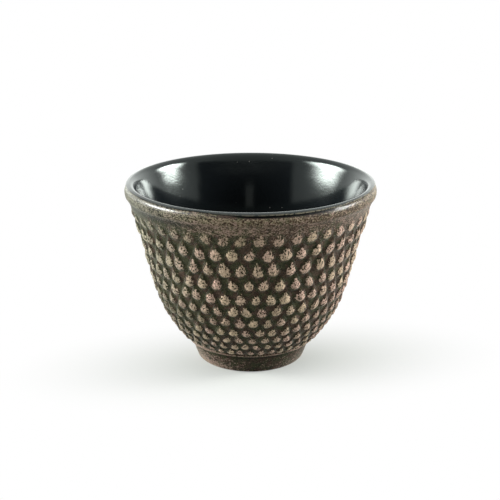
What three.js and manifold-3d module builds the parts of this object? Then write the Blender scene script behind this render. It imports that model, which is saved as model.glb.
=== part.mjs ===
// Cast iron tea cup: a hobnailed iron casting with a fired black enamel lining.
// Millimetres, +Z up, origin at the centre of the foot on the table, front towards -Y.
import * as THREE from 'three';
import { mergeVertices } from 'three/addons/utils/BufferGeometryUtils.js';
import Module from 'manifold-3d';

// Overall size
const cupHeight = 59.3;
const rimRadius = 40.2;

// Foot ring: a short taper up to a waist under a thin ridge, hollow underneath
const footHeight = 7.0;
const footBottomRadius = 17.8;
const footEdge = 0.9;
const waistHeight = 6.0;
const waistRadius = 19.45;
const ridgeRadius = 21.1;
const ridgeHeight = 0.5;
const footRingWidth = 3.6;
const recessDepth = 3.2;
const recessDraft = 0.6;
const recessFillet = 0.8;

// Groove between the ridge and the belly
const grooveHeight = 0.9;
const grooveDepth = 0.4;

// Belly: one curve from the groove up to the plain stretch under the collar, leaning out from upright
const bellyRadius = 21.5;
const bellyLean = THREE.MathUtils.degToRad(39.6);
const bellyFullness = 0.4;
const shoulderLean = THREE.MathUtils.degToRad(21.2);
const shoulderFullness = 0.45;

// Plain stretch, step and collar below the lip, which has a flat crest and a steep flank
const plainHeight = 2.0;
const stepHeight = 0.9;
const collarBand = 2.0;
const collarTaper = 0.5;
const collarProud = 1.85;
const lipRise = 1.7;
const lipOuter = 1.63;
const lipFlat = 0.2;
const flankTopOut = 0.85;
const flankTopDrop = 0.12;
const flankFootIn = 0.33;
const flankFootRise = 0.8;

// Wall and floor of the casting
const wallThickness = 3.0;
const floorThickness = 3.3;
const floorFlatRadius = 11.5;

// Hobnails: staggered rows whose spacing follows the girth of the cup
const nailsPerRow = 44;
const nailHeight = 1.15;
const rowSpacing = 1.0;
const rowDrift = 0.05;
// The top rows stand a little apart from the rest, which sag towards the foot: shares of a row
const topRows = 2;
const topRowsRise = 0.15;
const lowRowsSag = 0.15;
const valleyZigzag = 0.15;
// A nail is a drop, broad and high below, pointed above: half pitches across, rows up, share of height
const nailCrown = [
  { across: -0.36, up: -0.3, high: 0.95 },
  { across: 0.36, up: -0.3, high: 0.95 },
  { across: 0.62, up: -0.04, high: 1.0 },
  { across: 0, up: 0.32, high: 0.6 },
  { across: -0.62, up: -0.04, high: 1.0 },
];

// Enamel: a thin glass coat on the inside that runs over the lip and thins out down its flank
const enamelThickness = 0.4;
const enamelEdge = 0.28;
const enamelDownFlank = 0.35;
const bondGap = 0.08;

// Facets
const columns = 2 * nailsPerRow;
const bowlSides = 56;
const lipSteps = 3;
const wallSteps = 6;
const floorSteps = 3;
const curveSamples = 400;
const weldDistance = 1e-4;

// Heights and radii that follow from the sizes above
const ironTop = cupHeight - enamelThickness - bondGap;
const lipStart = ironTop - lipRise;
const collarBottom = lipStart - collarBand;
const plainTop = collarBottom - stepHeight;
const bellyTop = plainTop - plainHeight;
const bellyBottom = footHeight + grooveHeight;
const floorTop = recessDepth + floorThickness;
const crestRadius = rimRadius - lipOuter;
const shoulderRadius = rimRadius - collarProud;

const wasm = await Module();
wasm.setup();

const point = (radius, height) => new THREE.Vector2(radius, height);

// Point at a distance along a line that leans out from upright
const leaning = (start, lean, distance) =>
  point(start.x + distance * Math.sin(lean), start.y + distance * Math.cos(lean));

// Corners of the iron lip's outer side
const lipCrest = point(crestRadius, ironTop);
const flankTop = point(crestRadius + flankTopOut, ironTop - flankTopDrop);
const flankFoot = point(rimRadius - flankFootIn, lipStart + flankFootRise);

// Belly line of the bare wall, between the hobnails
const bellyStart = point(bellyRadius, bellyBottom);
const bellyEnd = point(shoulderRadius, bellyTop);
const bellySpan = bellyStart.distanceTo(bellyEnd);
const belly = new THREE.CubicBezierCurve(
  bellyStart,
  leaning(bellyStart, bellyLean, bellyFullness * bellySpan),
  leaning(bellyEnd, shoulderLean, -shoulderFullness * bellySpan),
  bellyEnd,
);
belly.arcLengthDivisions = curveSamples;

// Point at a share of the belly's length, moved out along the wall's normal
function bellyPoint(share, out) {
  const place = belly.getPointAt(share);
  const along = belly.getTangentAt(share);
  return point(place.x + along.y * out, place.y - along.x * out);
}

// Rows counted from the foot: each takes as much of the belly as the hobnail pitch at its girth
function rowScale() {
  const counts = [0];
  const step = belly.getLength() / curveSamples;
  for (let i = 0; i < curveSamples; i += 1) {
    const girth = 2 * Math.PI * belly.getPointAt((i + 0.5) / curveSamples).x;
    counts.push(counts[i] + (step * nailsPerRow) / (girth * rowSpacing));
  }
  const rows = Math.max(1, Math.round(counts[curveSamples]));
  const scaled = counts.map((count) => (count * rows) / counts[curveSamples]);
  const lowRows = Math.max(1, rows - topRows);
  const unevenRow = (row) => {
    const rise = THREE.MathUtils.clamp(row - lowRows + 0.5, 0, 1);
    const sag = Math.sin(Math.PI * THREE.MathUtils.clamp(row / lowRows, 0, 1));
    return row + topRowsRise * rise - lowRowsSag * sag;
  };
  const shareAt = (row) => {
    const place = unevenRow(row);
    const above = scaled.findIndex((count) => count >= place);
    if (above <= 0) return above < 0 ? 1 : 0;
    const part = (place - scaled[above - 1]) / (scaled[above] - scaled[above - 1]);
    return (above - 1 + part) / curveSamples;
  };
  return { rows, shareAt };
}

// Closed outer skin of the casting, with its hobnails, as if the bowl were solid
function castingSkin() {
  const positions = [];
  const faces = [];
  const { rows, shareAt } = rowScale();

  // Columns run round the cup; the rows drift a little round it as they rise
  const addVertex = (radius, height, column, row) => {
    const angle = ((column / 2 + rowDrift * row) * 2 * Math.PI) / nailsPerRow;
    positions.push(radius * Math.sin(angle), -radius * Math.cos(angle), height);
    return positions.length / 3 - 1;
  };
  const addRing = (profilePoint, row) =>
    Array.from({ length: columns }, (_, column) => addVertex(profilePoint.x, profilePoint.y, column, row));
  const addNailVertex = (row, column, out) => {
    const place = bellyPoint(shareAt(row), out);
    return addVertex(place.x, place.y, column, row);
  };
  const bridge = (lower, upper) => {
    for (let i = 0; i < columns; i += 1) {
      const next = (i + 1) % columns;
      faces.push(lower[i], lower[next], upper[next]);
      faces.push(lower[i], upper[next], upper[i]);
    }
  };
  const cap = (ring, height, facesUp) => {
    const centre = addVertex(0, height, 0, 0);
    for (let i = 0; i < columns; i += 1) {
      const next = (i + 1) % columns;
      faces.push(...(facesUp ? [ring[i], ring[next], centre] : [ring[next], ring[i], centre]));
    }
  };
  const bridgeAll = (rings) => rings.slice(1).forEach((ring, i) => bridge(rings[i], ring));

  // Valley lines run zigzag between the rows, and straight at both ends of the field
  const valleys = [];
  for (let line = 0; line <= rows; line += 1) {
    const swing = line === 0 || line === rows ? 0 : valleyZigzag;
    valleys.push(
      Array.from({ length: columns }, (_, column) => {
        const side = (column + line) % 2 === 0 ? -swing : swing;
        return addNailVertex(line + side, column, 0);
      }),
    );
  }

  // One hobnail in each cell between two valley lines
  const addNail = (row, column) => {
    const left = (column + columns - 1) % columns;
    const right = (column + 1) % columns;
    const [low, high] = [valleys[row], valleys[row + 1]];
    const base = [low[column], low[right], high[right], high[column], high[left], low[left]];
    const tall = (nailHeight * bellyPoint(shareAt(row + 0.5), 0).x) / shoulderRadius;
    const crown = nailCrown.map((corner) =>
      addNailVertex(row + 0.5 + corner.up, column + corner.across, tall * corner.high));
    faces.push(base[0], crown[1], crown[0], base[0], base[1], crown[1]);
    faces.push(base[1], crown[2], crown[1], base[1], base[2], crown[2]);
    faces.push(base[2], crown[3], crown[2], base[2], base[3], crown[3]);
    faces.push(base[3], base[4], crown[3], base[4], crown[4], crown[3]);
    faces.push(base[4], base[5], crown[4], base[5], crown[0], crown[4]);
    faces.push(base[5], base[0], crown[0]);
    faces.push(crown[0], crown[1], crown[2], crown[0], crown[2], crown[4], crown[4], crown[2], crown[3]);
  };
  for (let row = 0; row < rows; row += 1) {
    for (let column = row % 2; column < columns; column += 2) {
      addNail(row, column);
    }
  }

  // Foot, from the table up to the waist, the ridge that overhangs it and the groove
  const footLine = [
    point(footBottomRadius - footEdge, 0),
    point(footBottomRadius, footEdge),
    point(waistRadius, waistHeight),
    point(ridgeRadius, footHeight - ridgeHeight),
    point(ridgeRadius, footHeight),
    point(Math.min(ridgeRadius, bellyRadius) - grooveDepth, footHeight + grooveHeight / 2),
  ];
  const footRings = footLine.map((place) => addRing(place, 0));
  cap(footRings[0], 0, false);
  bridgeAll([...footRings, valleys[0]]);

  // Plain stretch, step, collar and the outer half of the lip
  const collarLine = [
    point(shoulderRadius + plainHeight * Math.tan(shoulderLean), plainTop),
    point(rimRadius - collarTaper, collarBottom),
    point(rimRadius, lipStart),
    flankFoot,
    flankTop,
    lipCrest,
  ];
  const collarRings = collarLine.map((place) => addRing(place, rows));
  bridgeAll([valleys[rows], ...collarRings]);
  cap(collarRings[collarRings.length - 1], ironTop, true);

  const geometry = new THREE.BufferGeometry();
  geometry.setAttribute('position', new THREE.Float32BufferAttribute(positions, 3));
  geometry.setIndex(faces);
  return geometry;
}

// Inside line of the bowl from the axis to the lip, moved in from the iron by inset
function bowlLine(inset) {
  const wall = [];
  for (let i = 0; i <= wallSteps; i += 1) {
    wall.push(bellyPoint(i / wallSteps, -(wallThickness + inset)));
  }
  const floorHeight = floorTop + inset;
  const floorCorner = wall[0].x - (wall[0].y - floorHeight) * Math.tan(bellyLean);
  const floorCurve = new THREE.QuadraticBezierCurve(
    point(Math.min(floorFlatRadius, floorCorner), floorHeight),
    point(floorCorner, floorHeight),
    wall[0],
  );
  const wallTop = wall[wallSteps];
  const lipInner = point(wallTop.x + (lipStart - wallTop.y) * Math.tan(shoulderLean), lipStart);
  const lipCurve = new THREE.QuadraticBezierCurve(
    lipInner,
    point(lipInner.x + (lipRise + inset) * Math.tan(shoulderLean), ironTop + inset),
    point(crestRadius - lipFlat, ironTop + inset),
  );
  return [
    point(0, floorHeight),
    ...floorCurve.getPoints(floorSteps).slice(0, -1),
    ...wall,
    ...lipCurve.getPoints(lipSteps),
  ];
}

// Unit normal on the left of the way from one point to another: outwards where it runs down the outside
function outward(from, to) {
  const along = to.clone().sub(from).normalize();
  return point(-along.y, along.x);
}

// Outer side of the lip as far as the enamel runs, moved out from the iron at its crest and at its edge
function overLipLine(onCrest, onEdge) {
  const acrossTop = outward(lipCrest, flankTop);
  const acrossFlank = outward(flankTop, flankFoot);
  const acrossCorner = acrossTop.clone().add(acrossFlank);
  const cornerReach = (onCrest + onEdge) / acrossCorner.dot(acrossTop);
  const edge = flankTop.clone().lerp(flankFoot, enamelDownFlank);
  return [
    point(crestRadius, ironTop + onCrest),
    flankTop.clone().addScaledVector(acrossCorner, cornerReach / 2),
    edge.addScaledVector(acrossFlank, onEdge),
  ];
}

// Solid of revolution about +Z from a profile of radii and heights that starts and ends on the axis
function revolve(profile) {
  const geometry = new THREE.LatheGeometry(profile, bowlSides);
  geometry.rotateX(Math.PI / 2);
  return closed(geometry);
}

// Shared vertices merged, and the flattened triangles at the axis dropped
function closed(geometry) {
  geometry.deleteAttribute('normal');
  geometry.deleteAttribute('uv');
  const merged = mergeVertices(geometry, weldDistance);
  const index = merged.getIndex().array;
  const kept = [];
  for (let i = 0; i < index.length; i += 3) {
    const [a, b, c] = index.subarray(i, i + 3);
    if (a !== b && b !== c && c !== a) kept.push(a, b, c);
  }
  merged.setIndex(kept);
  return merged;
}

function toSolid(geometry) {
  return new wasm.Manifold(
    new wasm.Mesh({
      numProp: 3,
      vertProperties: new Float32Array(geometry.getAttribute('position').array),
      triVerts: new Uint32Array(geometry.getIndex().array),
    }),
  );
}

function toGeometry(solid) {
  const mesh = solid.getMesh();
  const geometry = new THREE.BufferGeometry();
  geometry.setAttribute('position', new THREE.BufferAttribute(mesh.vertProperties, 3));
  geometry.setIndex(new THREE.BufferAttribute(mesh.triVerts, 1));
  geometry.computeVertexNormals();
  return geometry;
}

// Hollow of the bowl, open upwards
function bowlHollow() {
  const line = bowlLine(0);
  const mouth = line[line.length - 1];
  return revolve([...line, point(mouth.x, cupHeight), point(0, cupHeight)]);
}

// Hollow under the foot, open downwards, with a little draft and a filleted ceiling
function footHollow() {
  const mouth = footBottomRadius - footRingWidth;
  const slope = recessDraft / recessDepth;
  const below = -footEdge;
  const filletStart = recessDepth - recessFillet;
  return revolve([
    point(0, below),
    point(mouth - slope * below, below),
    point(mouth - slope * filletStart, filletStart),
    point(mouth - recessDraft - recessFillet, recessDepth),
    point(0, recessDepth),
  ]);
}

function ironBody() {
  const casting = toSolid(castingSkin()).subtract(toSolid(bowlHollow())).subtract(toSolid(footHollow()));
  const material = new THREE.MeshStandardMaterial({ color: 0x5a4a3c, roughness: 0.75, metalness: 0.3 });
  const mesh = new THREE.Mesh(toGeometry(casting), material);
  mesh.name = 'iron_body';
  return mesh;
}

function enamelLining() {
  const full = bondGap + enamelThickness;
  const face = [...bowlLine(full), ...overLipLine(full, bondGap + enamelEdge)];
  const back = [...bowlLine(bondGap), ...overLipLine(bondGap, bondGap)];
  const geometry = revolve([...back, ...face.reverse()]);
  geometry.computeVertexNormals();
  const material = new THREE.MeshStandardMaterial({ color: 0x0b0b0d, roughness: 0.12, metalness: 0.0 });
  const mesh = new THREE.Mesh(geometry, material);
  mesh.name = 'enamel_lining';
  return mesh;
}

const teaCup = new THREE.Group();
teaCup.add(ironBody(), enamelLining());

export default teaCup;
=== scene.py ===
import math

import bpy
import numpy as np
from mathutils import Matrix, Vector, noise


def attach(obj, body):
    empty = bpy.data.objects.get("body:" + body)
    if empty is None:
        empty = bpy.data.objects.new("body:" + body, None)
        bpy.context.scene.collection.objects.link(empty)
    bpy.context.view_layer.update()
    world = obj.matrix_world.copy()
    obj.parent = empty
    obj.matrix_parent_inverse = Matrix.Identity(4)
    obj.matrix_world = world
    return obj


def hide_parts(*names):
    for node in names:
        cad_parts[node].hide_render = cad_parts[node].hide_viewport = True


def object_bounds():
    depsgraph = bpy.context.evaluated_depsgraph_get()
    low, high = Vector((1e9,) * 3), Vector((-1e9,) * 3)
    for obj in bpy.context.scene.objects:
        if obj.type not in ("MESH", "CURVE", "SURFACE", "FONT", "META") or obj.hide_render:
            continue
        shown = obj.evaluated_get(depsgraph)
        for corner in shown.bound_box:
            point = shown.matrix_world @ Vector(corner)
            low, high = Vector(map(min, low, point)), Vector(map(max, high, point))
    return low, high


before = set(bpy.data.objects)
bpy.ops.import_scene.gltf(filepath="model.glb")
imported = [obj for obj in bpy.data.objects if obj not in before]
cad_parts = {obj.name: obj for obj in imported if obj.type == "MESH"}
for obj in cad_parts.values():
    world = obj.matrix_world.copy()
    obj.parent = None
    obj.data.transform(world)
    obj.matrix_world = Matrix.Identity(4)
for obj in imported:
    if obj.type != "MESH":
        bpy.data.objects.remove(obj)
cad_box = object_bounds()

# Size of the cup from the CAD model's box, in millimetres; the rim leaves room in its box for the cast grain
MM = 0.001
GRAIN_ROOM = 0.039
CUP_HEIGHT = cad_box[1][2] / MM
RIM_RADIUS = round(cad_box[1][0] / MM - GRAIN_ROOM, 2)

# Foot: a short taper up to a waist under a thin ridge, hollow underneath
FOOT_HEIGHT = 7.12
FOOT_BOTTOM_RADIUS = 17.8
FOOT_TOP_RADIUS = 21.1
FOOT_BULGE = 0.12
FOOT_EDGE = 0.9
FOOT_EDGE_RUN = 1.6 * FOOT_EDGE
FOOT_EDGE_CORNER = 0.4 * FOOT_EDGE
WAIST_HEIGHT = 5.6
WAIST_RADIUS = 19.3
WAIST_TURN = (0.3, 0.7)
RIDGE_HEIGHT = 0.5
RIDGE_SLOPE = 0.1
FOOT_RING_WIDTH = 3.6
RECESS_DEPTH = 3.2
RECESS_DRAFT = 0.6
RECESS_EDGE = 0.8
RECESS_MIDDLE = 2.0
GROOVE_HEIGHT = 0.78
GROOVE_DEPTH = 0.4

# Belly: one curve from the groove up to the plain stretch, leaning out from upright
BELLY_RADIUS = 21.5
BELLY_LEAN = math.radians(39.6)
BELLY_FULLNESS = 0.4
SHOULDER_LEAN = math.radians(21.2)
SHOULDER_FULLNESS = 0.45

# Plain stretch, step and collar below the lip, which has a flat crest and a steep flank
PLAIN_HEIGHT = 2.0
STEP_HEIGHT = 0.9
COLLAR_BAND = 2.0
COLLAR_TAPER = 0.5
COLLAR_PROUD = 1.85
COLLAR_EDGE = 0.6
LIP_RISE = 1.7
LIP_ROLL = 1.7
LIP_OUTER = 1.55
LIP_FLAT = 0.2
FLANK_TOP = (0.85, 0.12)
FLANK_FOOT = (0.25, 0.8)

# Wall and floor of the casting
WALL_THICKNESS = 3.0
FLOOR_THICKNESS = 3.3
FLOOR_FLAT_RADIUS = 11.5

# Enamel; its reach is a share of the lip's outer side, and short edges are (angle, spread) in radians
ENAMEL_THICKNESS = 0.4
ENAMEL_EDGE = 0.28
BOND_GAP = 0.08
BOND_GAP_AT_EDGE = 0.3 * BOND_GAP
ENAMEL_REACH = 0.35
REACH_UNEVEN = 0.05
REACH_UNEVEN_SIZE = 7
REACH_OVER_BARE_EDGE = 0.06
REACH_SHORT = 0.1
SHORT_EDGES = ((math.radians(62), 0.35), (math.radians(308), 0.35), (-0.40, 0.16))

# Hobnails: staggered rows, of which the top two stand apart from the rest, which sag to the foot
NAILS_PER_ROW = 44
NAIL_HEIGHT = 1.15
NAIL_HALF_WIDTH = 0.445
ROW_SPACING = 1.0
ROW_DRIFT = 0.05
ROW_SAG = 0.15
TOP_ROWS = 2
TOP_ROWS_APART = 0.15
TOP_ROWS_PARTING = (2.4, 1.6)
TOP_ROW_SHARE = 0.45
SECOND_ROW_SHARE = 0.92
NAILS_FADE = 0.25

# Form of one nail, a drop, in half widths from its middle
NAIL_FOOT_REACH = 0.95
NAIL_TIP_REACH = 1.9
NAIL_TIP_TAPER = 0.42
NAIL_TIP_END = 1.6
NAIL_DOME = 0.85
NAIL_SLOPE = 0.18

# Small differences between one nail and the next that a sand mould gives
NAIL_SEED = 11
PLACE_JITTER = 0.035
WIDTH_JITTER = 0.05
HEIGHT_JITTER = 0.10
LEAN_JITTER = 0.12

# Cast grain of the iron
GRAIN_SIZE = 0.9
GRAIN_DEPTH = 0.05

# Bare line in the iron under the enamel, at the front and right
BARE_EDGE_ANGLE = math.radians(15)
BARE_EDGE_SPREAD = math.radians(26)
BARE_EDGE_DEPTH = 0.35
BARE_EDGE_DROP = 0.7
BARE_EDGE_WIDTH = 0.2

# Mesh density
COLUMNS = 11 * NAILS_PER_ROW
RINGS_PER_ROW = 10
ENAMEL_COLUMNS = 288
LINE_STEP = 0.33
ENAMEL_STEP = 2.2 * LINE_STEP
HIDDEN_STEP = 1.6
INSIDE_STEP = 2.5 * HIDDEN_STEP
CURVE_SAMPLES = 400
CURVE_STEPS = 12
CORNER_CUT = 0.25

# Heights and radii that follow
IRON_TOP = CUP_HEIGHT - ENAMEL_THICKNESS - BOND_GAP
LIP_START = IRON_TOP - LIP_RISE
COLLAR_BOTTOM = LIP_START - COLLAR_BAND
PLAIN_TOP = COLLAR_BOTTOM - STEP_HEIGHT
BELLY_TOP = PLAIN_TOP - PLAIN_HEIGHT
BELLY_BOTTOM = FOOT_HEIGHT + GROOVE_HEIGHT
FLOOR_TOP = RECESS_DEPTH + FLOOR_THICKNESS
CREST_RADIUS = RIM_RADIUS - LIP_OUTER
SHOULDER_RADIUS = RIM_RADIUS - COLLAR_PROUD

# Dry paint rubbed on the plain parts, as shares that differ by the side of the cup
FAR_LEFT_POWER = 6
FAR_RIGHT_POWER = 4
FOOT_PAINT = {"all": 0.05, "left": 0.5, "right": 0.15}
FOOT_RUB_PAINT = {"left": 1.0, "right": 0.5}
FOOT_RUB_HEIGHT = 3
RIDGE_PAINT = 0.6
RIDGE_PAINT_DROP = 0.2
RIDGE_PAINT_WIDTH = 0.35
# In the waist the share below zero also darkens the ground as painted shade under the ridge
WAIST_BARE_SHADE = 0.6
WAIST_BARE_WIDTH = 0.8
VALLEY_PAINT = (-0.2, 0.3)
VALLEY_PAINT_HEIGHT = 4.5
SMEAR_PAINT = 1.2
SMEAR_ANGLE = math.radians(54)
SMEAR_SPREAD = 0.07
SMEAR_HEIGHT = 46.5
SMEAR_WIDTH = 0.5
PLAIN_PAINT = {"all": 0.3, "right": 0.12, "left": -0.33}
SCUFF_PAINT = 0.3
SCUFF_ANGLE = math.radians(345)
SCUFF_SPREAD = 0.35
# The far_left and far_right shares are partly painted sheen of the lamps on the grazing sides
COLLAR_PAINT = {"all": 0.36, "left": 0.06, "far_left": 0.2, "right": -0.25, "far_right": 0.45, "front": 0.12}
# At the bare line the share falls far below zero, which also darkens the ground as painted shadow under the
# enamel's edge
BARE_EDGE_PAINT = 1.5
BARE_EDGE_START = LIP_START + 0.75
BARE_EDGE_FULL = LIP_START + 0.95

# Dry paint on the nails: where it is worn or thin, in rows from the top or from the foot
TOP_ROW_PLACE = (1.2, 0.2)
TOP_ROW_WEAR = {"all": 0.2, "left": 0.2}
TOP_ROW_THIN = 0.42
TOP_ROW_THIN_UP_TO = 0.625
LOW_ROWS_PLACE = (5.5, 3.5)
LOW_ROWS_THIN = {"all": 0.02, "left": 0.16, "right": 0.14}
THIN_BAND_ROW = 4.6
THIN_BAND_WIDTH = 0.9
THIN_BAND = {"all": 0.13, "left": 0.42}
ALL_ROWS_THIN = {"left": 0.06}

# Noise in the materials, as scale, detail and roughness
SAND_NOISE = (1.35, 3.0, 0.65)
FINE_NOISE = (2.8, 2.0, 0.5)
STREAK_NOISE = (1.0, 4.0, 0.7)
STROKE_NOISE = (1.0, 4.0, 0.65)
DASH_NOISE = (3.2, 2.0, 0.5)
MOTTLE_NOISE = (0.4, 3.0, 0.6)
PATCH_NOISE = (0.09, 2.0, 0.5)
PEEL_NOISE = (0.16, 1.0, 0.4)
GLAZE_NOISE = (1.5, 2.0, 0.5)

# Streaks and pits in the paint of each nail, and strokes of the brush round the cup
STREAK_ORIGIN = 1.7
STREAK_FAN = 11.0
STREAK_LENGTH = 0.9
STREAKS_BY_NAIL = 60.0
PITS_BY_NAIL = 50.0
PIT_SQUEEZE = 0.9
PIT_BEND = (0.4, 0.4, 0)
PIT_BEND_SCALE = 2.5
PIT_SCALE = 3.1
PIT_EDGE = (0.42, 0.14)
PIT_CHOICE = (0.0, 0.15)
PITS_FEWER_BY_NAIL = 0.6
PITS_MORE_UPWARDS = 0.3
STROKE_TURN = (0.12, 0.1, 0)
STROKE_STRETCH = (0.45, 0.45, 1.2)

# Where paint takes on the grain of the nails and of the plain parts
PAINT_BY_SHARE = 0.34
NAIL_PAINT_GAIN = 2.8
NAIL_PAINT_START = 1.0
NAIL_PAINT_MOST = 0.9
NAIL_RAGGED = 1.8
NAIL_TIP_START = 0.5
NAIL_TIP_BARE = 0.5
NAIL_FINE_GRAIN = 0.4
NAIL_PITS = 0.36
NAIL_PAINT_EDGE = (0.42, 0.58)
PLAIN_STROKES = 1.5
PLAIN_FINE_GRAIN = 0.35
PLAIN_PAINT_EDGE = (0.41, 0.60)
PLAIN_PAINT_COVER = 0.72

# Black-brown ground under the paint; places are millimetres to the right or up
DARK_OLIVE = (0.0300, 0.0290, 0.0130, 1)
DARK_BROWN = (0.0445, 0.0252, 0.0172, 1)
MOTTLE_TO_RIGHT = 0.0015
MOTTLE_AT_TOP = 0.07
MOTTLE_EDGE = (0.45, 0.57)
GROUND_GRAIN = (0.36, 0.66)
GROUND_LEVEL = (0.4, 1.6)
# Painted shade: where the brush share falls below these, the ground goes near black, at the bare line and in
# the waist
BARE_GROUND = (-0.2, -0.6)
BARE_GROUND_SHADE = 0.95
# Painted shade: the ground off the nails darker on the left
LEFT_SHADE_PLACE = (-4, -24)
LEFT_SHADE = 0.75
# Painted shade: the ground darker towards the foot
LOW_SHADE_PLACE = (10, 24)
LOW_SHADE_LEVEL = (0.75, 0.25)

# Tan paint: pink or yellow on the nails, olive or pink on the plain parts, grey on the left, partly the
# paint's tone and partly painted sheen of the left lamp
TAN_PINK = (0.452, 0.301, 0.247, 1)
TAN_YELLOW = (0.425, 0.316, 0.225, 1)
TAN_OLIVE = (0.43, 0.35, 0.232, 1)
TAN_GREY = (0.322, 0.302, 0.234, 1)
GREY_PLACE = (-8, -38)
GREY_ON_NAILS = 0.8
WARMTH_BY_NAIL = 0.4
WARMTH_BY_PATCH = 0.6
WARMTH_TO_LEFT = 0.002
WARMTH_EDGE = (0.3, 0.7)
TAN_LEVEL = -0.66
TAN_GRAIN = 3.4
TAN_STREAKS = 2.3
# Painted shade: tan dimmer on the left front
TAN_DIM = 0.14
TAN_DIM_START = (-4, -18)
TAN_DIM_END = (-36, -28)
PINK_EDGE = (0.5, 0.66)
PINK_LOW = 0.16
PINK_LOW_END = COLLAR_BOTTOM - 0.5
PINK_FOOT = 0.5
PINK_FOOT_PLACE = (8.0, 6.0)
RUBBED_LEVEL = 0.3

# Relief and gloss of the iron
SAND_RELIEF = 0.7
FINE_RELIEF = 0.25
PIT_RELIEF = 0.4
IRON_BUMP = 0.8
IRON_BUMP_HEIGHT = 0.00016
IRON_ROUGHNESS = 0.50
PAINT_ROUGHNESS = 0.15
IRON_SPECULAR = 0.13
SHEEN = 0.25
SHEEN_ROUGHNESS = 0.35
SHEEN_COLOUR = (1, 0.96, 0.88, 1)
LIP_COAT = 0.8
LIP_COAT_TOP = IRON_TOP - 0.6
LIP_COAT_SIDE = (32, 0)
LIP_COAT_LEVEL = (0.4, 0.6)
LIP_COAT_ROUGHNESS = 0.25

# Enamel: black with a faint orange peel, specks of dust, and a wash of paint at its outer edge, which is
# partly a painted highlight on the edge
ENAMEL_BLACK = (0.0050, 0.0064, 0.0078, 1)
DUST_GREY = (0.16, 0.15, 0.14, 1)
DUST_SCALE = 0.22
DUST_EDGE = (0.055, 0.03)
WASH_GRAIN = (0.3, 0.6)
WASH_COVER = 0.5
WASH_FADE = (1, -0.7)
WASH_SIDE = (-1 / 3, 1 / 3)
WASH_ROUGHNESS = 0.25
PEEL_RELIEF = 0.9
GLAZE_RELIEF = 0.2
ENAMEL_BUMP = 0.5
ENAMEL_BUMP_HEIGHT = 0.00012
ENAMEL_ROUGHNESS = 0.09
GLAZE_ROUGHNESS = 0.05
ENAMEL_IOR = 1.55
ENAMEL_TINT = (0.92, 1.0, 0.96, 1)

# Table, in metres: painted shade in an oval round the cup, white beyond it
WHITE = (1, 1, 1, 1)
FLOOR_SIZE = 1.2
FLOOR_GAP = 0.00002
FLOOR_COLOUR = (0.468, 0.489, 0.455, 1)
FLOOR_SHADE_CENTRE = (0.003, -0.009, 0)
FLOOR_SHADE_REACH = (0.09, 0.042, 1)
FLOOR_SHADE_TURN = (0, 0, math.radians(9))
FLOOR_SHADE_FADE = (-0.29, 0.97)

# Light tent, as directions from the cup: white walls, a dark open front with a pale strip, two lamps
TENT_COLOUR = (0.96, 1, 0.97, 1)
TENT_LEVEL = 0.80
TENT_BACK = 0.45
BACKDROP_LEVEL = 0.7
BACKDROP_START = (0.3, 0.8)
BACKDROP_TOP = (0.55, 0.25)
OPENING_LEVEL = 0.04
OPENING_TURN = 0.11
OPENING_START = (-0.479, -0.569)
OPENING_TOP = (0.56, 0.44)
STRIP_LEVEL = 0.27
STRIP_PLACE = 0.02
STRIP_EDGE = (0.095, 0.06)
STRIP_TOP = (0.42, 0.36)
LAMP_TILT = 0.3
LAMP_EDGE = (1.3, 0.2)
RIGHT_LAMP = {
    "level": 58.0,
    "place": (0.912, 0.105, 0.395),
    "spread": (1.0, 0.265, 0.14),
    "foot": (0.275, 0.335),
}
LEFT_LAMP = {
    "level": 44.0,
    "place": (-0.912, 0.03, 0.4),
    "spread": (1.0, 0.36, 0.15),
    "foot": (0.17, 0.36),
}

# Camera of the photograph, in metres, with its lens in millimetres
CAMERA_DISTANCE = 0.3215
CAMERA_HEIGHT = 0.1408
CAMERA_PITCH = math.radians(18.16)
CAMERA_LENS = 74.5
CAMERA_SENSOR = 36
CAMERA_SHIFT = (-0.00115, 0.0012)


# Numbers that change along a line or round the cup


def rise(value, low, high):
    """0 up to low, 1 from high on and straight in between, also where low is the larger one."""
    return np.clip((value - low) / (high - low), 0, 1)


def hump(distance, width, power=2):
    """1 at no distance, falling off smoothly to each side; a higher even power gives a flatter top."""
    return np.exp(-((distance / width) ** power))


def angles(columns):
    """Angle of each column round the cup: 0 at the front, growing to the right."""
    return 2 * math.pi * np.arange(columns) / columns


def angle_from(middle, angle):
    """Angles from a middle, at most half a turn to each side."""
    return (angle - middle + math.pi) % (2 * math.pi) - math.pi


def by_side(angle, shares):
    """A sum of shares, each on the side of the cup that it is named for."""
    left = np.clip(-np.sin(angle), 0, 1)
    right = np.clip(np.sin(angle), 0, 1)
    sides = {
        "all": 1,
        "front": np.clip(np.cos(angle), 0, 1),
        "left": left,
        "far_left": left**FAR_LEFT_POWER,
        "right": right,
        "far_right": right**FAR_RIGHT_POWER,
    }
    return sum(share * sides[side] for side, share in shares.items())


def bare_edge(angle):
    """1 at the front and right, where the enamel runs down and a line under it has no paint, 0 elsewhere."""
    return hump(angle_from(BARE_EDGE_ANGLE, angle), BARE_EDGE_SPREAD, power=4)


def grain(places, size):
    """Smooth noise from -1 to 1 at each place, with grains of about this many millimetres."""
    scaled = places.reshape(-1, 3) / (size * MM)
    values = [noise.noise(Vector(place)) for place in scaled.tolist()]
    return np.array(values).reshape(places.shape[:-1])


# Lines of the profile, as rows of radius and height


def leaning(start, lean, distance):
    """The point at a distance along a line that leans out from upright."""
    return start + distance * np.array([math.sin(lean), math.cos(lean)])


def bezier(controls, steps):
    """Points of a quadratic or cubic curve."""
    points = np.array(controls, float)[:, None, :]
    share = np.linspace(0, 1, steps + 1)[:, None]
    while len(points) > 1:
        points = points[:-1] * (1 - share) + points[1:] * share
    return points[0]


def arc_length(line):
    """Distance of each point from the line's start."""
    return np.concatenate([[0], np.cumsum(np.hypot(*np.diff(line, axis=0).T))])


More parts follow.
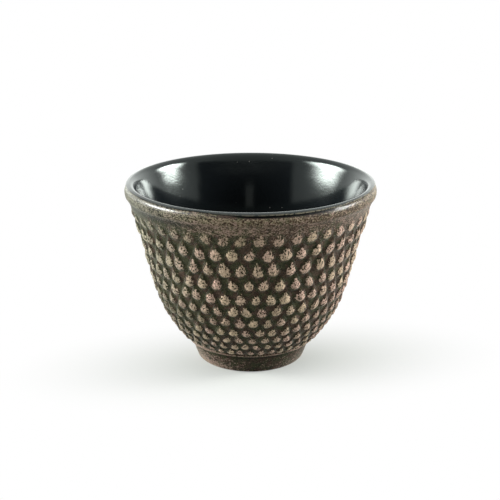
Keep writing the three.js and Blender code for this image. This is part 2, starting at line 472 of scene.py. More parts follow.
def read_along(line, wanted, pairs):
    """Pairs that belong to a line's points, read at wanted distances along the line."""
    length = arc_length(line)
    return np.stack([np.interp(wanted, length, pairs[:, i]) for i in (0, 1)], -1)


def resample(line, step):
    """The same line with points at an even distance of about step."""
    length = arc_length(line)[-1]
    count = max(1, round(length / step))
    return read_along(line, np.linspace(0, length, count + 1), line)


def rounded(points, times=3):
    """Cuts the corners of an open line again and again, and keeps its ends."""
    line = np.array(points, float)
    for _ in range(times):
        near = (1 - CORNER_CUT) * line[:-1] + CORNER_CUT * line[1:]
        far = CORNER_CUT * line[:-1] + (1 - CORNER_CUT) * line[1:]
        cut = np.stack([near, far], 1).reshape(-1, 2)
        line = np.concatenate([line[:1], cut, line[-1:]])
    return line


def normals(line):
    """Unit normals on the right of the line's direction: outwards where it runs up the outside."""
    along = np.gradient(line, axis=0)
    along /= np.hypot(*along.T)[:, None]
    return np.stack([along[:, 1], -along[:, 0]], 1)


def foot_line(belly_foot):
    """From the hollow under the foot, over its flat ring, side and ridge, to the foot of the belly."""
    mouth = FOOT_BOTTOM_RADIUS - FOOT_RING_WIDTH
    middle = [RECESS_MIDDLE, RECESS_DEPTH]
    ceiling = [mouth - RECESS_DRAFT, RECESS_DEPTH]
    recess = rounded([middle, ceiling, [mouth, 0], [mouth + RECESS_EDGE, 0]])

    ring_end = [FOOT_BOTTOM_RADIUS - FOOT_EDGE_RUN, 0]
    ring_corner = [FOOT_BOTTOM_RADIUS - FOOT_EDGE_CORNER, 0]
    edge = rounded([ring_end, ring_corner, [FOOT_BOTTOM_RADIUS, FOOT_EDGE]])
    waist = np.array([WAIST_RADIUS, WAIST_HEIGHT])
    bulge = 0.5 * (edge[-1] + waist) + [2 * FOOT_BULGE, 0]
    side = bezier([edge[-1], bulge, waist], CURVE_STEPS)

    turn = waist + WAIST_TURN
    ridge_foot = [FOOT_TOP_RADIUS - RIDGE_SLOPE, FOOT_HEIGHT - RIDGE_HEIGHT]
    ridge_top = [FOOT_TOP_RADIUS, FOOT_HEIGHT]
    groove = [FOOT_TOP_RADIUS - GROOVE_DEPTH, FOOT_HEIGHT + 0.5 * GROOVE_HEIGHT]
    junction = rounded([waist, turn, ridge_foot, ridge_top, groove, belly_foot], times=2)

    under = resample(np.concatenate([recess, edge[:1]]), HIDDEN_STEP)
    shown = resample(np.concatenate([edge, side[1:], junction[1:]]), LINE_STEP)
    return np.concatenate([under, shown[1:-1]])


def belly_line():
    """The wall from the groove to the plain stretch, without its hobnails."""
    start = np.array([BELLY_RADIUS, BELLY_BOTTOM])
    end = np.array([SHOULDER_RADIUS, BELLY_TOP])
    span = np.hypot(*(end - start))
    near = leaning(start, BELLY_LEAN, BELLY_FULLNESS * span)
    far = leaning(end, SHOULDER_LEAN, -SHOULDER_FULLNESS * span)
    fine = bezier([start, near, far, end], CURVE_SAMPLES)
    return resample(fine, arc_length(fine)[-1] / CURVE_SAMPLES)


def collar_line(belly_top):
    """From the top of the belly over the plain stretch, the collar and the lip to its crest."""
    plain = [SHOULDER_RADIUS + PLAIN_HEIGHT * math.tan(SHOULDER_LEAN), PLAIN_TOP]
    band_foot = [RIM_RADIUS - COLLAR_TAPER, COLLAR_BOTTOM]
    band = [RIM_RADIUS, COLLAR_BOTTOM + COLLAR_EDGE]
    shoulder = rounded([belly_top, plain, band_foot, band, [RIM_RADIUS, LIP_START]])
    lip = outer_lip()[::-1]
    return resample(np.concatenate([shoulder[1:], lip[1:]]), LINE_STEP)


def outer_lip():
    """Outer half of the iron lip from its crest down its steep flank to the collar."""
    crest = [CREST_RADIUS, IRON_TOP]
    flank_top = [CREST_RADIUS + FLANK_TOP[0], IRON_TOP - FLANK_TOP[1]]
    flank_foot = [RIM_RADIUS - FLANK_FOOT[0], LIP_START + FLANK_FOOT[1]]
    return rounded([crest, flank_top, flank_foot, [RIM_RADIUS, LIP_START]])


def over_lip(on_crest, on_edge, reach):
    """The outer lip as far as each column's reach, moved out by a distance that changes along it."""
    lip = outer_lip()
    share = 1 - (1 - np.linspace(0, 1, CURVE_STEPS + 1)[:, None]) ** 2
    wanted = share * reach * arc_length(lip)[-1]
    moved = on_crest + (on_edge - on_crest) * share
    return read_along(lip, wanted, lip) + read_along(lip, wanted, -normals(lip)) * moved[..., None]


def bowl_line(inset, step):
    """Inside of the bowl from near the axis to the lip's crest."""
    belly = belly_line()
    wall = belly - normals(belly) * (WALL_THICKNESS + inset)
    floor = FLOOR_TOP + inset
    corner = wall[0, 0] - (wall[0, 1] - floor) * math.tan(BELLY_LEAN)
    turn = bezier([[FLOOR_FLAT_RADIUS, floor], [corner, floor], wall[0]], CURVE_STEPS)
    roll_start = IRON_TOP - LIP_ROLL
    lip_inner = wall[-1, 0] + (roll_start - wall[-1, 1]) * math.tan(SHOULDER_LEAN)
    lip_control = lip_inner + (LIP_ROLL + inset) * math.tan(SHOULDER_LEAN)
    top = IRON_TOP + inset
    roll = [[lip_inner, roll_start], [lip_control, top], [CREST_RADIUS - LIP_FLAT, top]]
    line = np.concatenate([[[0, floor]], turn[:-1], wall, bezier(roll, CURVE_STEPS)])
    return resample(line, step)[1:]


# Meshes


def every_column(line, columns):
    """The same line for each column round the cup."""
    return np.repeat(line[:, None, :], columns, 1)


def turned(lines):
    """A line for each column turned round the axis, as (rings, columns, 3) in metres."""
    angle = angles(lines.shape[1])
    radius, height = lines[..., 0], lines[..., 1]
    return np.stack([radius * np.sin(angle), -radius * np.cos(angle), height], -1) * MM


def ring_mesh(name, rings, first_pole, last_pole, layers):
    """A closed mesh of rings with a pole at a height on the axis at each end, and layers of values."""
    count, columns = rings.shape[:2]
    poles = [[0, 0, height * MM] for height in (first_pole, last_pole)]
    points = np.concatenate([rings.reshape(-1, 3), poles])
    ring, column = np.meshgrid(np.arange(count - 1), np.arange(columns), indexing="ij")
    beside = (column + 1) % columns
    low = ring * columns
    high = low + columns
    quads = np.stack([low + column, low + beside, high + beside, high + column], -1).reshape(-1, 4)
    around = np.arange(columns)
    onward = (around + 1) % columns
    last = (count - 1) * columns
    first_fan = np.stack([onward, around, np.full(columns, count * columns)], 1)
    last_fan = np.stack([last + around, last + onward, np.full(columns, count * columns + 1)], 1)
    mesh = bpy.data.meshes.new(name)
    mesh.from_pydata(points.tolist(), [], quads.tolist() + first_fan.tolist() + last_fan.tolist())
    for layer, values in layers.items():
        add_layer(mesh, layer, values)
    unwrap(mesh, rings, quads, first_fan, last_fan)
    mesh.polygons.foreach_set("use_smooth", np.ones(len(mesh.polygons), bool))
    mesh.update()
    piece = bpy.data.objects.new(name, mesh)
    bpy.context.scene.collection.objects.link(piece)
    return piece


def add_layer(mesh, name, values):
    """A number or a vector for each point of the rings, and zero at the poles."""
    kind, field, width = ("FLOAT_VECTOR", "vector", 3) if values.ndim == 3 else ("FLOAT", "value", 1)
    flat = np.concatenate([values.reshape(-1, width), np.zeros((2, width))])
    made = mesh.attributes.new(name, kind, "POINT")
    made.data.foreach_set(field, flat.ravel().astype(np.float32))


def unwrap(mesh, rings, quads, first_fan, last_fan):
    """A map for baking that unrolls the rings: across is round the cup, up is along the profile."""
    count, columns = rings.shape[:2]
    steps = np.linalg.norm(np.diff(rings[:, 0], axis=0), axis=1)
    along = np.concatenate([[0], np.cumsum(steps)])
    margin = along[-1] / count
    along = (along + margin) / (along[-1] + 2 * margin)
    rows = np.concatenate([np.repeat(along, columns), [0, 1]])
    sides = np.concatenate([np.tile(np.arange(columns), count), [0, 0]]) / columns
    corners = []
    for faces in (quads, first_fan, last_fan):
        across = sides[faces]
        wraps = across.max(1) - across.min(1) > 0.5
        across = np.where(wraps[:, None] & (across < 0.5), across + 1, across)
        if faces.shape[1] == 3:
            across[:, 2] = across[:, :2].mean(1)
        corners.append(np.stack([across, rows[faces]], -1).reshape(-1, 2))
    layer = mesh.uv_layers.new(name="OFBake")
    layer.data.foreach_set("uv", np.concatenate(corners).ravel().astype(np.float32))


# Hobnails


def row_places(belly):
    """The row count, and the row number at each point of the belly line."""
    middle = 0.5 * (belly[:-1, 0] + belly[1:, 0])
    pitch = 2 * math.pi * middle / NAILS_PER_ROW
    count = np.concatenate([[0], np.cumsum(np.diff(arc_length(belly)) / (pitch * ROW_SPACING))])
    rows = max(1, round(count[-1]))
    return rows, count * rows / count[-1]


def uneven_rows(row_at, rows):
    """Row numbers as on the real casting, where the top rows stand apart from sagging lower ones."""
    sag = ROW_SAG * np.sin(math.pi * rise(row_at, 0, rows - TOP_ROWS))
    return row_at + sag - TOP_ROWS_APART * rise(rows - row_at, *TOP_ROWS_PARTING)


class Nails:
    """Heights and local places of the hobnails over the belly."""

    def __init__(self, rows):
        random = np.random.default_rng(NAIL_SEED)
        shape = (rows, NAILS_PER_ROW)
        self.rows = rows
        self.across = random.normal(0, PLACE_JITTER, shape)
        self.up = random.normal(0, PLACE_JITTER, shape)
        self.wide = 1 + random.normal(0, WIDTH_JITTER, shape)
        self.tall = 1 + random.normal(0, HEIGHT_JITTER, shape)
        self.lean = random.normal(0, LEAN_JITTER, shape)
        self.number = random.uniform(0, 1, shape)
        self.tall[rows - 1] *= TOP_ROW_SHARE
        self.tall[rows - 2] *= SECOND_ROW_SHARE

    def shape(self, across, up):
        """Height from 0 to 1 of a drop: broad and steep below, drawn out and gentle above."""
        below = np.hypot(across, up / NAIL_FOOT_REACH)
        taper = 1 - NAIL_TIP_TAPER * np.clip(up, 0, NAIL_TIP_END)
        above = np.hypot(across / taper, up / NAIL_TIP_REACH)
        reach = np.where(up < 0, below, above)
        dome = np.clip(1 - reach**2, 0, 1) ** NAIL_DOME
        return dome * (1 - NAIL_SLOPE * np.clip(up, -1, NAIL_TIP_END))

    def field(self, row_at, turn):
        """For row numbers and turns in pitches: the height share, and the place in the nearest nail."""
        best = np.zeros(row_at.shape)
        tall = np.zeros(row_at.shape)
        place = np.zeros(row_at.shape + (3,))
        for offset in (-1, 0, 1):
            row = np.clip(np.floor(row_at).astype(int) + offset, 0, self.rows - 1)
            shift = 0.5 * (row % 2) + ROW_DRIFT * (row + 0.5)
            nearest = np.round(turn - shift).astype(int)
            for side in (-1, 0, 1):
                pick = (row, (nearest + side) % NAILS_PER_ROW)
                half = NAIL_HALF_WIDTH * self.wide[pick]
                across = (turn - shift - nearest - side - self.across[pick]) / half
                up = (row_at - row - 0.5 - self.up[pick]) / half
                across = across - self.lean[pick] * up
                share = self.shape(across, up)
                better = share > best
                best = np.where(better, share, best)
                tall = np.where(better, self.tall[pick], tall)
                here = np.stack([across, up, self.number[pick]], -1)
                place = np.where(better[..., None], here, place)
        return best, tall, place


# Shares of dry paint on the casting


def foot_paint(height, angle):
    """Rubbed on at the bottom edge and the ridge, and left out in the waist between them, where the share
    below zero also darkens the ground as painted shade under the ridge.
    """
    rub = rise(height, FOOT_RUB_HEIGHT, 0)
    ridge = hump(height - FOOT_HEIGHT + RIDGE_PAINT_DROP, RIDGE_PAINT_WIDTH)
    waist = rise(abs(height - WAIST_HEIGHT), WAIST_BARE_WIDTH, 0)
    on_edge = by_side(angle, FOOT_PAINT) + rub * by_side(angle, FOOT_RUB_PAINT)
    return on_edge + RIDGE_PAINT * ridge - WAIST_BARE_SHADE * waist


def valley_paint(height, angle):
    """Between the nails: hardly any except near the top, and one smear."""
    least, most = VALLEY_PAINT
    near_top = rise(height, BELLY_TOP - VALLEY_PAINT_HEIGHT, BELLY_TOP)
    across = hump(angle_from(SMEAR_ANGLE, angle), SMEAR_SPREAD)
    smear = across * hump(height - SMEAR_HEIGHT, SMEAR_WIDTH)
    return (most - least) * near_top + least + SMEAR_PAINT * smear


def collar_paint(height, angle):
    """On the plain stretch with its scuff, and on the collar and lip but for the bare line, where the share
    far below zero also darkens the ground to near black as painted shadow under the enamel's edge.
    """
    scuff = hump(angle_from(SCUFF_ANGLE, angle), SCUFF_SPREAD)
    plain = by_side(angle, PLAIN_PAINT) + SCUFF_PAINT * scuff
    bare = bare_edge(angle) * rise(height, BARE_EDGE_START, BARE_EDGE_FULL)
    collar = by_side(angle, COLLAR_PAINT) - BARE_EDGE_PAINT * bare
    return np.where(height < COLLAR_BOTTOM, plain, collar)


def nail_cover(row_at, top_row, angle):
    """How fully the paint covers the nails: less in the top row, in the low rows and in one band."""
    to_right = by_side(angle, {"right": 1})
    thin_top = TOP_ROW_THIN * rise(to_right, TOP_ROW_THIN_UP_TO, 0) * top_row
    thin_low = rise(row_at, *LOW_ROWS_PLACE) * by_side(angle, LOW_ROWS_THIN)
    thin_band = hump(row_at - THIN_BAND_ROW, THIN_BAND_WIDTH) * by_side(angle, THIN_BAND)
    return 1 - thin_top - thin_low - by_side(angle, ALL_ROWS_THIN) - thin_band


# Pieces


def make_casting():
    """The iron body: foot, hobnailed belly, collar and lip, closed on the inside under the enamel."""
    belly = belly_line()
    rows, row_number = row_places(belly)
    row_at = np.linspace(0, rows, rows * RINGS_PER_ROW + 1)
    wall = read_along(belly, np.interp(row_at, row_number, arc_length(belly)), belly)
    foot = foot_line(wall[0])
    collar = collar_line(wall[-1])
    inside = bowl_line(0, INSIDE_STEP)[::-1]
    line = np.concatenate([foot, wall, collar, inside])
    below = slice(0, len(foot))
    nailed = slice(len(foot), len(foot) + len(wall))
    above = slice(nailed.stop, len(line))
    index = np.arange(len(line))
    shown = index < len(line) - len(inside)
    angle = angles(COLUMNS)

    # Nails and grain stand out from the plain rings, and the bare line is cut into them
    turn = np.arange(COLUMNS) * NAILS_PER_ROW / COLUMNS
    shares, tall, places = Nails(rows).field(*np.meshgrid(uneven_rows(row_at, rows), turn, indexing="ij"))
    rings = turned(every_column(line, COLUMNS))
    lift = GRAIN_DEPTH * grain(rings, GRAIN_SIZE) * shown[:, None]
    level = NAIL_HEIGHT * wall[:, 0] / SHOULDER_RADIUS * rise(row_at, rows, rows - NAILS_FADE)
    lift[nailed] += shares * tall * level[:, None]
    lift[line[:, 1] < FOOT_EDGE] = 0
    on_lip = shown & (index >= nailed.stop)
    under_edge = hump(line[:, 1] - IRON_TOP + BARE_EDGE_DROP, BARE_EDGE_WIDTH) * on_lip
    lift -= BARE_EDGE_DEPTH * under_edge[:, None] * bare_edge(angle)
    rings = rings + turned(every_column(normals(line), COLUMNS)) * lift[..., None]

    # Layers that the paint reads
    top_row = rise(rows - row_at, *TOP_ROW_PLACE)[:, None]
    nail_height = np.zeros(lift.shape)
    nail_height[nailed] = shares * (1 - by_side(angle, TOP_ROW_WEAR) * top_row)
    nail_place = np.zeros(lift.shape + (3,))
    nail_place[nailed] = places
    cover = np.ones(lift.shape)
    cover[nailed] = nail_cover(row_at[:, None], top_row, angle)
    brush = np.empty(lift.shape)
    for stretch, paint in ((below, foot_paint), (nailed, valley_paint), (above, collar_paint)):
        brush[stretch] = paint(line[stretch, 1:], angle)
    layers = {"nail_height": nail_height, "nail_place": nail_place, "brush": brush, "cover": cover}
    return ring_mesh("cup_casting", rings, RECESS_DEPTH, FLOOR_TOP, layers)


def enamel_reach(angle):
    """Share of the lip's outer side under enamel: uneven, and short where paint runs over it."""
    places = np.stack([np.sin(angle), np.cos(angle), np.zeros(len(angle))], -1) * RIM_RADIUS * MM
    uneven = REACH_UNEVEN * grain(places, REACH_UNEVEN_SIZE)
    short = sum(hump(angle_from(middle, angle), spread) for middle, spread in SHORT_EDGES)
    return ENAMEL_REACH + uneven + REACH_OVER_BARE_EDGE * bare_edge(angle) - REACH_SHORT * short


def make_enamel():
    """The fired lining: the inside of the bowl, over the lip, with a thin uneven outer edge."""
    angle = angles(ENAMEL_COLUMNS)
    reach = enamel_reach(angle)
    outside = BOND_GAP + ENAMEL_THICKNESS
    back = every_column(bowl_line(BOND_GAP, INSIDE_STEP), ENAMEL_COLUMNS)
    under = over_lip(BOND_GAP, BOND_GAP_AT_EDGE, reach)
    over = over_lip(outside, BOND_GAP + ENAMEL_EDGE, reach)[::-1]
    face = every_column(bowl_line(outside, ENAMEL_STEP), ENAMEL_COLUMNS)[::-1]
    rings = turned(np.concatenate([back, under, over, face]))
    wash = np.zeros(rings.shape[:2])
    first = len(back) + len(under)
    from_edge = np.linspace(*WASH_FADE, len(over)).clip(0, 1)
    wash[first : first + len(over)] = from_edge[:, None] * rise(np.sin(angle), *WASH_SIDE)
    return ring_mesh("cup_enamel", rings, FLOOR_TOP + BOND_GAP, FLOOR_TOP + outside, {"wash": wash})


# Materials


class Value:
    """A number, place, colour or shader in a node tree; plain arithmetic works on a number."""

    def __init__(self, graph, socket):
        self.graph = graph
        self.socket = socket

    def __add__(self, other):
        return self.graph.calculate("ADD", self, other)

    def __sub__(self, other):
        return self.graph.calculate("SUBTRACT", self, other)

    def __rsub__(self, other):
        return self.graph.calculate("SUBTRACT", other, self)

    def __mul__(self, other):
        return self.graph.calculate("MULTIPLY", self, other)

    __radd__ = __add__
    __rmul__ = __mul__


class Graph:
    """The node tree of a material or a world, made and linked by short calls."""

    def __init__(self, owner):
        owner.use_nodes = True
        self.owner = owner
        self.tree = owner.node_tree
        self.tree.nodes.clear()

    def node(self, kind, inputs, **settings):
        """A new node; an input is a value of this tree to link, or a plain one to set on the socket."""
        made = self.tree.nodes.new(kind)
        for name, setting in settings.items():
            setattr(made, name, setting)
        for name, value in inputs.items():
            if isinstance(value, Value):
                self.tree.links.new(value.socket, made.inputs[name])
            else:
                made.inputs[name].default_value = value
        return made

    def outputs(self, node, *names):
        return [Value(self, node.outputs[name]) for name in names]

    def value(self, kind, inputs, output=0, **settings):
        """One output of a new node."""
        return Value(self, self.node(kind, inputs, **settings).outputs[output])

    def calculate(self, operation, *numbers):
        return self.value("ShaderNodeMath", dict(enumerate(numbers)), operation=operation)

    def combine(self, operation, *vectors, output=0):
        return self.value("ShaderNodeVectorMath", dict(enumerate(vectors)), output, operation=operation)

    def parts(self, vector):
        return self.outputs(self.node("ShaderNodeSeparateXYZ", {0: vector}), 0, 1, 2)

    def blend(self, factor, low, high):
        """From the low colour to the high one."""
        inputs = {0: factor, 6: low, 7: high}
        return self.value("ShaderNodeMix", inputs, 2, data_type="RGBA", clamp_factor=True)

    def ramp(self, value, low, high):
        """0 up to low, 1 from high on and a smooth step in between, also where low is the larger one."""
        inputs = {"Value": value, "From Min": low, "From Max": high}
        return self.value("ShaderNodeMapRange", inputs, interpolation_type="SMOOTHSTEP")

    def noise(self, vector, scale, detail, roughness):
        inputs = {"Vector": vector, "Scale": scale, "Detail": detail, "Roughness": roughness}
        return self.value("ShaderNodeTexNoise", inputs, "Fac")

    def shade(self, colour, level):
        """A colour made darker or lighter by a number."""
        return self.combine("MULTIPLY", colour, level)

    def attribute(self, name, output="Fac"):
        return self.value("ShaderNodeAttribute", {}, output, attribute_name=name)

    def coordinates(self, output):
        return self.value("ShaderNodeTexCoord", {}, output)

    def millimetres(self):
        """Object coordinates in millimetres."""
        inputs = {0: self.coordinates("Object"), "Scale": 1 / MM}
        return self.value("ShaderNodeVectorMath", inputs, operation="SCALE")

    def camera_ray(self):
        return self.value("ShaderNodeLightPath", {}, "Is Camera Ray")

    def finish(self, shader, kind="ShaderNodeOutputMaterial"):
        self.node(kind, {"Surface": shader})
        return self.owner


class IronGraph(Graph):
    """Black-brown painted cast iron with dry tan paint brushed over its high spots."""

    def __init__(self, owner):
        super().__init__(owner)
        self.place = self.millimetres()
        self.side, _, self.level = self.parts(self.place)
        self.brush = self.attribute("brush")
        self.across, self.up, self.number = self.parts(self.attribute("nail_place", "Vector"))
        self.sand = self.noise(self.place, *SAND_NOISE)
        self.fine = self.noise(self.place, *FINE_NOISE)
        self.mixed = 0.5 * self.sand + 0.5 * self.fine
        inputs = {"Vector": self.place, "Rotation": STROKE_TURN, "Scale": STROKE_STRETCH}
        drawn = self.value("ShaderNodeMapping", inputs)
        self.stroke = self.noise(drawn, *STROKE_NOISE)
        self.dash = self.noise(drawn, *DASH_NOISE)
        self.streak = self.nail_streaks()
        self.pit = self.nail_pits()
        self.off_nails = self.ramp(self.level, BELLY_TOP, PLAIN_TOP)
        self.to_left = self.ramp(self.side, *GREY_PLACE)
        # Painted shade: the ground goes near black where the brush share is far below zero, at the bare line
        # and in the waist
        self.painted = 1.0 - BARE_GROUND_SHADE * self.ramp(self.brush, *BARE_GROUND)

    def nail_streaks(self):
        """Streaks that fan out upwards from under the foot of each nail."""
        below = self.up + STREAK_ORIGIN
        away = self.calculate("SQRT", self.across * self.across + below * below)
        fan = self.calculate("ARCTAN2", self.across, below)
        inputs = {"X": STREAK_FAN * fan, "Y": STREAK_LENGTH * away, "Z": STREAKS_BY_NAIL * self.number}
        return self.noise(self.value("ShaderNodeCombineXYZ", inputs), *STREAK_NOISE) - 0.5

    def nail_pits(self):
        """Pits of the cast grain, which the brush passed over."""
        inputs = {"X": self.across + PITS_BY_NAIL * self.number, "Y": PIT_SQUEEZE * self.up}
        place = self.value("ShaderNodeCombineXYZ", inputs)
        bend = self.value("ShaderNodeTexNoise", {"Vector": place, "Scale": PIT_BEND_SCALE}, "Color")
        inputs = {"Vector": self.combine("MULTIPLY_ADD", bend, PIT_BEND, place), "Scale": PIT_SCALE}
        cells = self.node("ShaderNodeTexVoronoi", inputs, voronoi_dimensions="2D")
        distance, colour = self.outputs(cells, "Distance", "Color")
        chosen = self.value("ShaderNodeSeparateColor", {0: colour})
        often = chosen - PITS_FEWER_BY_NAIL * self.number + PITS_MORE_UPWARDS * self.up
        return self.ramp(distance, *PIT_EDGE) * self.ramp(often, *PIT_CHOICE)

    def nail_paint(self):
        """Paint on the nails where they stand high, in ragged streaks towards their tips."""
        tip = NAIL_TIP_BARE * self.calculate("MAXIMUM", self.up - NAIL_TIP_START, 0.0)
        ragged = self.streak * (NAIL_RAGGED + self.up) - tip
        high = NAIL_PAINT_GAIN * self.attribute("nail_height") - NAIL_PAINT_START
        share = self.calculate("MINIMUM", high + ragged, NAIL_PAINT_MOST)
        grains = self.sand + NAIL_FINE_GRAIN * (self.fine - 0.5)
        grains = grains + PAINT_BY_SHARE * (share - 0.5) - NAIL_PITS * self.pit
        return self.ramp(grains, *NAIL_PAINT_EDGE) * self.attribute("cover")

    def plain_paint(self):
        """A thin rub of paint on the grain of the plain parts."""
        share = self.brush + PLAIN_STROKES * (self.stroke - 0.5)
        grains = PLAIN_FINE_GRAIN * self.fine + (1 - PLAIN_FINE_GRAIN) * self.dash
        grains = grains + PAINT_BY_SHARE * (share - 0.5)
        return PLAIN_PAINT_COVER * self.ramp(grains, *PLAIN_PAINT_EDGE)

    def ground(self):
        """Olive and brown mottling, with painted shade: near black at the bare line and in the waist, darker
        on the left off the nails and low down.
        """
        mottle = self.noise(self.place, *MOTTLE_NOISE) + MOTTLE_TO_RIGHT * self.side
        mottle = mottle + MOTTLE_AT_TOP * self.ramp(self.level, BELLY_TOP, COLLAR_BOTTOM)
        colour = self.blend(self.ramp(mottle, *MOTTLE_EDGE), DARK_OLIVE, DARK_BROWN)
        least, more = GROUND_LEVEL
        colour = self.shade(colour, least + more * self.ramp(self.mixed, *GROUND_GRAIN))
        colour = self.shade(colour, self.painted)
        # Painted shade: darker on the left off the nails
        left_shade = LEFT_SHADE * self.off_nails * self.ramp(self.side, *LEFT_SHADE_PLACE)
        colour = self.shade(colour, 1.0 - left_shade)
        # Painted shade: darker towards the foot
        least, more = LOW_SHADE_LEVEL
        return self.shade(colour, least + more * self.ramp(self.level, *LOW_SHADE_PLACE))

    def nail_tan(self):
        """Pink to yellow by nail and by patch, greyer on the left partly as painted sheen, dimmer on the
        left front as painted shade, in light and dark grains.
        """
        warmth = WARMTH_BY_NAIL * self.number + WARMTH_BY_PATCH * self.noise(self.place, *PATCH_NOISE)
        warmth = self.ramp(warmth - WARMTH_TO_LEFT * self.side, *WARMTH_EDGE)
        colour = self.blend(warmth, TAN_PINK, TAN_YELLOW)
        colour = self.blend(GREY_ON_NAILS * self.to_left, colour, TAN_GREY)
        # Painted shade: dimmer on the left front
        dim = self.ramp(self.side, *TAN_DIM_START) * self.ramp(self.side, *TAN_DIM_END)
        grains = TAN_GRAIN * self.mixed + TAN_STREAKS * self.streak - TAN_DIM * dim
        return self.shade(colour, TAN_LEVEL + grains)

    def plain_tan(self):
        """Olive with pink strokes, pinker low on the collar and on the foot, grey on the left partly as
        painted sheen.
        """
        low = PINK_LOW * self.ramp(self.level, LIP_START, PINK_LOW_END)
        strokes = self.ramp(self.stroke + low, *PINK_EDGE)
        foot = PINK_FOOT * self.ramp(self.level, *PINK_FOOT_PLACE)
        pink = self.calculate("MAXIMUM", strokes, foot)
        colour = self.blend(self.to_left, self.blend(pink, TAN_OLIVE, TAN_PINK), TAN_GREY)
        return self.shade(colour, RUBBED_LEVEL + self.fine)

    def relief(self):
        """Sand grain and pits, twice as deep off the nails."""
        height = SAND_RELIEF * self.sand + FINE_RELIEF * self.fine - PIT_RELIEF * self.pit
        inputs = {
            "Height": height * (1.0 + self.off_nails),
            "Strength": IRON_BUMP,
            "Distance": IRON_BUMP_HEIGHT,
        }
        return self.value("ShaderNodeBump", inputs)

    def lip_coat(self):
        """A thin gloss on the lip, least on the right and none at the bare line."""
        on_lip = self.ramp(self.level, LIP_START, LIP_COAT_TOP) * self.painted
        least, more = LIP_COAT_LEVEL
        return LIP_COAT * on_lip * (least + more * self.ramp(self.side, *LIP_COAT_SIDE))


def iron_material():
    """Paint on the plain parts and on the nails over the ground of the casting."""
    g = IronGraph(bpy.data.materials.new("patinated_iron"))
    on_nails = g.nail_paint()
    on_plain = g.plain_paint()
    colour = g.blend(on_plain, g.ground(), g.plain_tan())
    colour = g.blend(on_nails, colour, g.nail_tan())
    return g.finish(g.value("ShaderNodeBsdfPrincipled", {
        "Base Color": colour,
        "Roughness": IRON_ROUGHNESS + PAINT_ROUGHNESS * g.calculate("MAXIMUM", on_nails, on_plain),
        "Normal": g.relief(),
        "Specular IOR Level": IRON_SPECULAR,
        "Sheen Weight": SHEEN,
        "Sheen Roughness": SHEEN_ROUGHNESS,
        "Sheen Tint": SHEEN_COLOUR,
        "Coat Weight": g.lip_coat(),
        "Coat Roughness": LIP_COAT_ROUGHNESS,
    }))


def enamel_material():
    """Black fired enamel: deep gloss with a faint orange peel and a few specks of dust."""
    g = Graph(bpy.data.materials.new("black_enamel"))
    place = g.millimetres()
    fine = g.noise(place, *GLAZE_NOISE)
    wave = PEEL_RELIEF * g.noise(place, *PEEL_NOISE) + GLAZE_RELIEF * fine
    inputs = {"Height": wave, "Strength": ENAMEL_BUMP, "Distance": ENAMEL_BUMP_HEIGHT}
    bump = g.value("ShaderNodeBump", inputs)
    from_dust = g.value("ShaderNodeTexVoronoi", {"Vector": place, "Scale": DUST_SCALE}, "Distance")
    colour = g.blend(g.ramp(from_dust, *DUST_EDGE), ENAMEL_BLACK, DUST_GREY)
    # The wash is paint and partly a painted highlight on the enamel's edge
    wash = g.attribute("wash") * g.ramp(fine, *WASH_GRAIN)
    return g.finish(g.value("ShaderNodeBsdfPrincipled", {
        "Base Color": g.blend(WASH_COVER * wash, colour, TAN_OLIVE),
        "Roughness": ENAMEL_ROUGHNESS + GLAZE_ROUGHNESS * fine + WASH_ROUGHNESS * wash,
        "Normal": bump,
        "IOR": ENAMEL_IOR,
        "Specular Tint": ENAMEL_TINT,
    }))


# Studio


def floor_material():
    """White that stays bright far from the cup; near it the cup's real shadow shows inside an oval shaped as
    painted shadow.
    """
    g = Graph(bpy.data.materials.new("white_table"))
    squeezed = g.value("ShaderNodeMapping", {
        "Vector": g.coordinates("Object"),
        "Location": FLOOR_SHADE_CENTRE,
        "Rotation": FLOOR_SHADE_TURN,
        "Scale": FLOOR_SHADE_REACH,
    }, vector_type="TEXTURE")
    away = g.combine("LENGTH", squeezed, output="Value")
    far = g.ramp(away, *FLOOR_SHADE_FADE) * g.camera_ray()
    matt = g.value("ShaderNodeBsdfDiffuse", {"Color": FLOOR_COLOUR})
    glow = g.value("ShaderNodeEmission", {"Color": WHITE})
    return g.finish(g.value("ShaderNodeMixShader", {0: far, 1: matt, 2: glow}))


def make_floor():
    """The white table that the cup stands on."""
    half = FLOOR_SIZE / 2
    corners = [(x, y, -FLOOR_GAP) for x, y in ((-half, -half), (half, -half), (half, half), (-half, half))]
    mesh = bpy.data.meshes.new("table")
    mesh.from_pydata(corners, [], [(0, 1, 2, 3)])
    mesh.materials.append(floor_material())
    table = bpy.data.objects.new("table", mesh)
    bpy.context.scene.collection.objects.link(table)


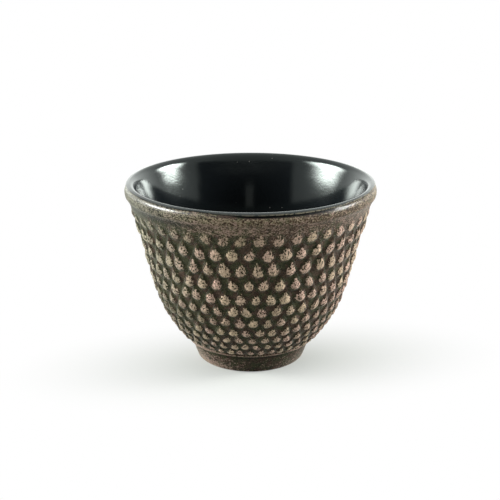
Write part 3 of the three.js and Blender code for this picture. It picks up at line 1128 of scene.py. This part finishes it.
def lamp_glow(g, direction, lamp):
    """Light of a lamp behind a wall of the tent: an oval, tilted and cut off at its foot."""
    _, y, z = g.parts(direction)
    away = g.combine("SUBTRACT", direction, lamp["place"])
    away = g.value("ShaderNodeMapping", {"Vector": away, "Rotation": (math.atan(LAMP_TILT), 0, 0)})
    away = g.combine("LENGTH", g.combine("DIVIDE", away, lamp["spread"]), output="Value")
    above = z + LAMP_TILT * y
    return lamp["level"] * g.ramp(away, *LAMP_EDGE) * g.ramp(above, *lamp["foot"])


def make_world():
    """A white light tent with an open front and a lamp behind its left and right walls."""
    world = bpy.data.worlds.new("light_tent")
    bpy.context.scene.world = world
    g = Graph(world)
    direction = g.coordinates("Generated")
    x, y, z = g.parts(direction)
    backdrop = g.ramp(y, *BACKDROP_START) * g.ramp(z, *BACKDROP_TOP)
    walls = TENT_LEVEL + TENT_BACK * y + BACKDROP_LEVEL * backdrop
    opening = g.ramp(y - OPENING_TURN * x, *OPENING_START) * g.ramp(z, *OPENING_TOP)
    from_strip = g.calculate("ABSOLUTE", x - STRIP_PLACE)
    strip = g.ramp(from_strip, *STRIP_EDGE) * g.ramp(z, *STRIP_TOP) * opening
    light = walls * (1.0 - (1 - OPENING_LEVEL) * opening) + STRIP_LEVEL * strip
    for lamp in (RIGHT_LAMP, LEFT_LAMP):
        light = light + lamp_glow(g, direction, lamp)
    tent = g.value("ShaderNodeBackground", {"Color": TENT_COLOUR, "Strength": light})
    white = g.value("ShaderNodeBackground", {"Color": WHITE})
    mixed = g.value("ShaderNodeMixShader", {0: g.camera_ray(), 1: tent, 2: white})
    g.finish(mixed, "ShaderNodeOutputWorld")


def make_camera():
    """The photograph's camera, in front of the cup and looking down on it."""
    camera = bpy.data.cameras.new("photo_camera")
    camera.sensor_width = CAMERA_SENSOR
    camera.lens = CAMERA_LENS
    camera.shift_x, camera.shift_y = CAMERA_SHIFT
    holder = bpy.data.objects.new("photo_camera", camera)
    holder.location = (0, -CAMERA_DISTANCE, CAMERA_HEIGHT)
    holder.rotation_euler = (math.pi / 2 - CAMERA_PITCH, 0, 0)
    bpy.context.scene.collection.objects.link(holder)
    bpy.context.scene.camera = holder


def dress(piece, node, material):
    """Gives a piece its finish and puts it in the place of its CAD node."""
    piece.data.materials.append(material)
    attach(piece, "root")
    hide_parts(node)


make_camera()
dress(make_casting(), "iron_body", iron_material())
dress(make_enamel(), "enamel_lining", enamel_material())
make_floor()
make_world()
bpy.context.scene.view_settings.view_transform = "Standard"
